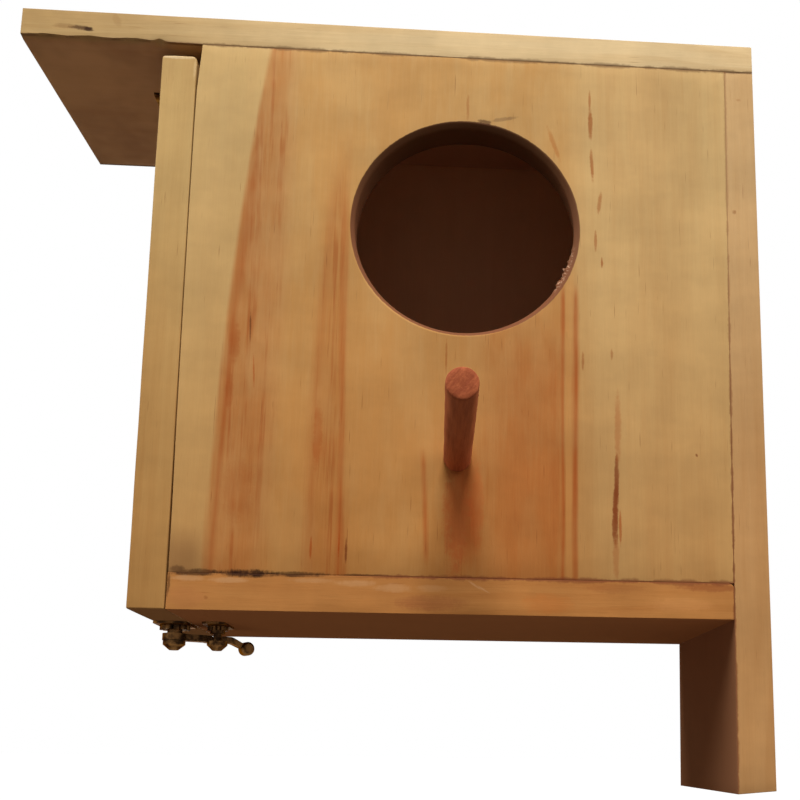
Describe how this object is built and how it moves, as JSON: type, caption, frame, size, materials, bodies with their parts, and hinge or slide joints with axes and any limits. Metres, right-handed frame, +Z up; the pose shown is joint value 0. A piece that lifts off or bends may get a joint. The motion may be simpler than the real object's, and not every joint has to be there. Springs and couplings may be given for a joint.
{
  "type": "hanging wooden birdhouse with a side door",
  "caption": "Wooden birdhouse with a round entrance and a perch, a hinged side door held by a swing latch, and a long side board to hang it by.",
  "frame": {"origin": "centre of the outer face of the mounting board, by which the box hangs", "axes": "+X out of the mounting face, away from the box; -Y the way the entrance looks; +Z up"},
  "size_m": [0.2592, 0.1676, 0.2664],
  "materials": {
    "pine_board": "oiled pine, satin",
    "dowel": "oiled dowel, satin",
    "antique_brass": "antique brass, satin"
  },
  "bodies": {
    "box": {"roof_board": "pine_board", "floor_board": "pine_board", "front_board": "pine_board", "back_board": "pine_board", "mounting_board": "pine_board", "perch_dowel": "dowel", "hinge_roof_leaf": "antique_brass", "hinge_roof_screws": "antique_brass", "hinge_pin": "antique_brass", "catch_plate": "antique_brass", "catch_screws": "antique_brass", "catch_rosette": "antique_brass", "catch_post": "antique_brass"},
    "door": {"door_board": "pine_board", "hinge_door_leaf": "antique_brass", "hinge_door_screws": "antique_brass", "latch_plate": "antique_brass", "latch_screws": "antique_brass", "latch_rosette": "antique_brass", "latch_post": "antique_brass"},
    "latch": {"latch_arm": "antique_brass"}
  },
  "joints": [
    {"name": "door_swing", "type": "hinge", "parent": "box", "child": "door", "pos_m": [-0.21209, 0, 0.126], "axis": [0, 1, 0], "range_deg": [0, 80]},
    {"name": "latch_swing", "type": "hinge", "parent": "door", "child": "latch", "pos_m": [-0.20256, 0, -0.07665], "axis": [0, 0, 1], "range_deg": [-30, 90]}
  ]
}
